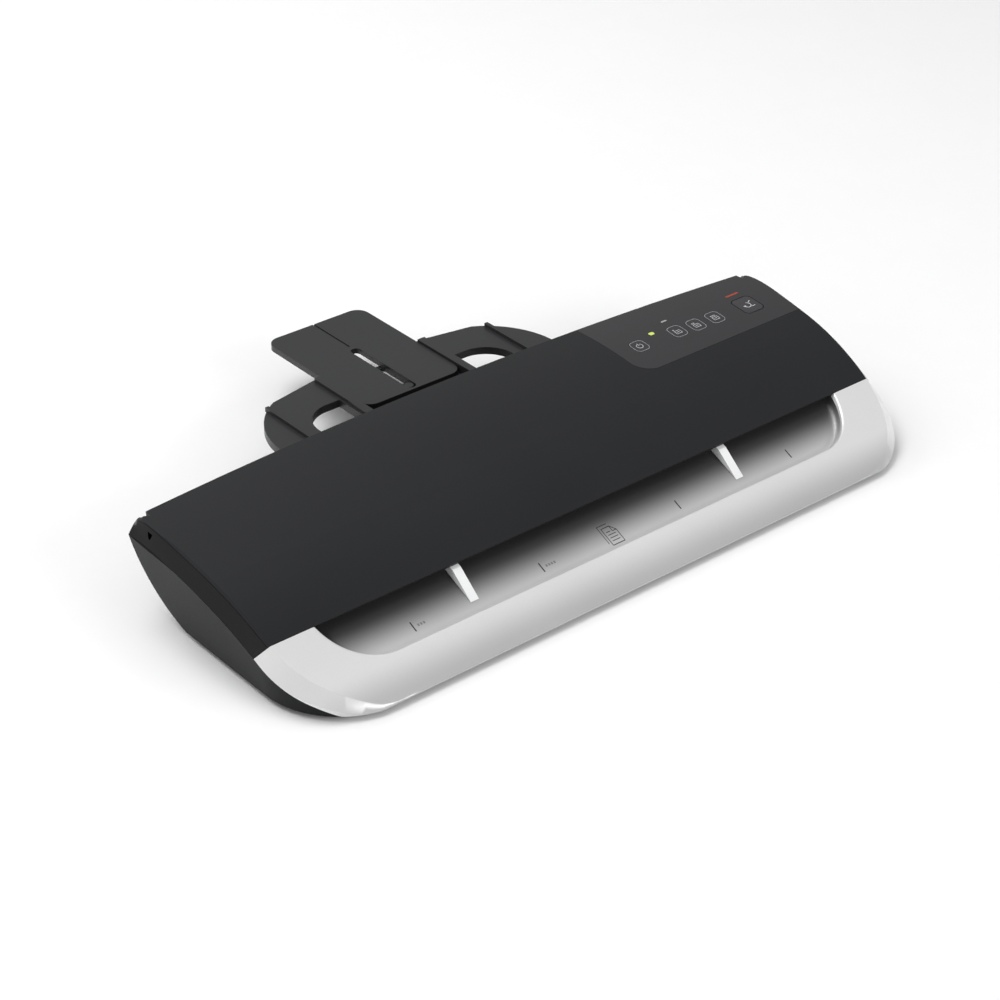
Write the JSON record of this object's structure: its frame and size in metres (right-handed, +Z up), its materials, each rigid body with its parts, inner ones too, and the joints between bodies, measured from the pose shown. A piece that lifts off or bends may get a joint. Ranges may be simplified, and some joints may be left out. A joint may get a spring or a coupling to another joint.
{
  "type": "pouch laminator",
  "caption": "Slim desktop pouch laminator with a lens-shaped body, sliding paper guides, hot roller pairs, push buttons and a draw-out exit tray.",
  "frame": {"origin": "middle of the outer box (exit tray drawn out) at table level", "axes": "+X to the right of a user at the feed side, +Y to the rear, where the pouch comes out, +Z up"},
  "size_m": [0.4928, 0.327, 0.0606],
  "materials": {
    "matte_black_plastic": "fine satin texture",
    "gloss_black_plastic": "high gloss",
    "dark_grey_plastic": "satin",
    "silver_plastic": "satin metallic paint",
    "panel_plastic": "satin",
    "black_tray_plastic": "satin",
    "guide_plastic": "satin metallic paint",
    "light_pipe": "translucent",
    "rubber": "matt",
    "silicone": "matt",
    "steel": "ground",
    "sheet_steel": "zinc plated",
    "heater_aluminium": "extruded",
    "heater_element": "film",
    "gear_plastic": "moulded",
    "brass": "turned",
    "inner_plastic": "moulded",
    "board": "solder mask",
    "board_parts": "moulded"
  },
  "bodies": {
    "body": {"base_pan": "dark_grey_plastic", "base_screws": "sheet_steel", "button_switches": "board_parts", "control_board": "board", "control_panel": "panel_plastic", "exit_guides": "inner_plastic", "exit_tray_frame": "black_tray_plastic", "feed_tray": "silver_plastic", "gear_motor": "sheet_steel", "heater_elements": "heater_element", "idler_pin": "steel", "left_end_cap": "dark_grey_plastic", "left_side_plate": "sheet_steel", "left_side_trim": "gloss_black_plastic", "lower_feed_guide": "inner_plastic", "lower_heater_plate": "heater_aluminium", "main_board": "board", "main_board_parts": "board_parts", "motor_bracket": "sheet_steel", "power_inlet": "black_tray_plastic", "pressure_springs": "sheet_steel", "ready_light": "light_pipe", "rear_panel": "dark_grey_plastic", "right_end_cap": "dark_grey_plastic", "right_side_plate": "sheet_steel", "right_side_trim": "gloss_black_plastic", "roller_bushes": "brass", "rubber_feet": "rubber", "status_light": "light_pipe", "thermal_cutout": "sheet_steel", "tie_bars": "steel", "top_cover": "matte_black_plastic", "upper_feed_guide": "inner_plastic", "upper_heater_plate": "heater_aluminium"},
    "lower_front_roller_set": {"lower_front_shaft": "steel", "lower_front_roller": "silicone", "lower_front_gear": "gear_plastic", "drive_gear": "gear_plastic"},
    "upper_front_roller_set": {"upper_front_shaft": "steel", "upper_front_roller": "silicone", "upper_front_gear": "gear_plastic"},
    "lower_rear_roller_set": {"lower_rear_shaft": "steel", "lower_rear_roller": "silicone", "lower_rear_gear": "gear_plastic"},
    "upper_rear_roller_set": {"upper_rear_shaft": "steel", "upper_rear_roller": "silicone", "upper_rear_gear": "gear_plastic"},
    "idler": {"idler_gear": "gear_plastic"},
    "motor_shaft": {"motor_pinion": "gear_plastic"},
    "left_guide": {"left_paper_guide": "guide_plastic", "left_guide_rack": "gear_plastic"},
    "right_guide": {"right_paper_guide": "guide_plastic", "right_guide_rack": "gear_plastic"},
    "guide_pinion": {"guide_pinion": "gear_plastic"},
    "tray_extension": {"exit_tray_extension": "black_tray_plastic"},
    "power_button": {"power_button": "panel_plastic"},
    "mode_button_1": {"mode_button_1": "panel_plastic"},
    "mode_button_2": {"mode_button_2": "panel_plastic"},
    "mode_button_3": {"mode_button_3": "panel_plastic"},
    "release_button": {"release_button": "panel_plastic"}
  },
  "joints": [
    {"name": "lower_front_roller_turn", "type": "hinge", "parent": "body", "child": "lower_front_roller_set", "pos_m": [0, -0.0505, 0.0285], "axis": [1, 0, 0], "continuous": true},
    {"name": "upper_front_roller_turn", "type": "hinge", "parent": "body", "child": "upper_front_roller_set", "pos_m": [0, -0.0505, 0.0445], "axis": [1, 0, 0], "continuous": true},
    {"name": "lower_rear_roller_turn", "type": "hinge", "parent": "body", "child": "lower_rear_roller_set", "pos_m": [0, -0.0165, 0.0285], "axis": [1, 0, 0], "continuous": true},
    {"name": "upper_rear_roller_turn", "type": "hinge", "parent": "body", "child": "upper_rear_roller_set", "pos_m": [0, -0.0165, 0.0445], "axis": [1, 0, 0], "continuous": true},
    {"name": "idler_turn", "type": "hinge", "parent": "body", "child": "idler", "pos_m": [0, -0.0335, 0.0285], "axis": [1, 0, 0], "continuous": true},
    {"name": "motor_shaft_turn", "type": "hinge", "parent": "body", "child": "motor_shaft", "pos_m": [0, -0.0763, 0.02528], "axis": [1, 0, 0], "continuous": true},
    {"name": "right_guide_slide", "type": "slide", "parent": "body", "child": "right_guide", "axis": [1, 0, 0], "range_m": [-0.051, 0.046]},
    {"name": "left_guide_slide", "type": "slide", "parent": "body", "child": "left_guide", "axis": [-1, 0, 0], "range_m": [-0.051, 0.046]},
    {"name": "guide_pinion_turn", "type": "hinge", "parent": "body", "child": "guide_pinion", "pos_m": [0, -0.1005, 0.0165], "axis": [0, 0, -1], "range_deg": [-487.51, 439.77]},
    {"name": "tray_extension_slide", "type": "slide", "parent": "body", "child": "tray_extension", "axis": [0, 1, 0], "range_m": [-0.054, 0]},
    {"name": "power_button_press", "type": "slide", "parent": "body", "child": "power_button", "axis": [0, 0, -1], "range_m": [0, 0.0008], "stiffness_N_per_m": 400, "springref_m": -0.0005},
    {"name": "mode_button_1_press", "type": "slide", "parent": "body", "child": "mode_button_1", "axis": [0, 0, -1], "range_m": [0, 0.0008], "stiffness_N_per_m": 400, "springref_m": -0.0005},
    {"name": "mode_button_2_press", "type": "slide", "parent": "body", "child": "mode_button_2", "axis": [0, 0, -1], "range_m": [0, 0.0008], "stiffness_N_per_m": 400, "springref_m": -0.0005},
    {"name": "mode_button_3_press", "type": "slide", "parent": "body", "child": "mode_button_3", "axis": [0, 0, -1], "range_m": [0, 0.0008], "stiffness_N_per_m": 400, "springref_m": -0.0005},
    {"name": "release_button_press", "type": "slide", "parent": "body", "child": "release_button", "axis": [0, 0, -1], "range_m": [0, 0.0008], "stiffness_N_per_m": 400, "springref_m": -0.0005}
  ],
  "couplings": [
    {"joint": "upper_front_roller_turn", "follows": "lower_front_roller_turn", "ratio": -1},
    {"joint": "lower_rear_roller_turn", "follows": "lower_front_roller_turn", "ratio": 1},
    {"joint": "upper_rear_roller_turn", "follows": "lower_front_roller_turn", "ratio": -1},
    {"joint": "idler_turn", "follows": "lower_front_roller_turn", "ratio": -0.88889},
    {"joint": "motor_shaft_turn", "follows": "lower_front_roller_turn", "ratio": -3.3333},
    {"joint": "left_guide_slide", "follows": "right_guide_slide", "ratio": 1},
    {"joint": "guide_pinion_turn", "follows": "right_guide_slide", "rad_per_m": 166.67}
  ]
}
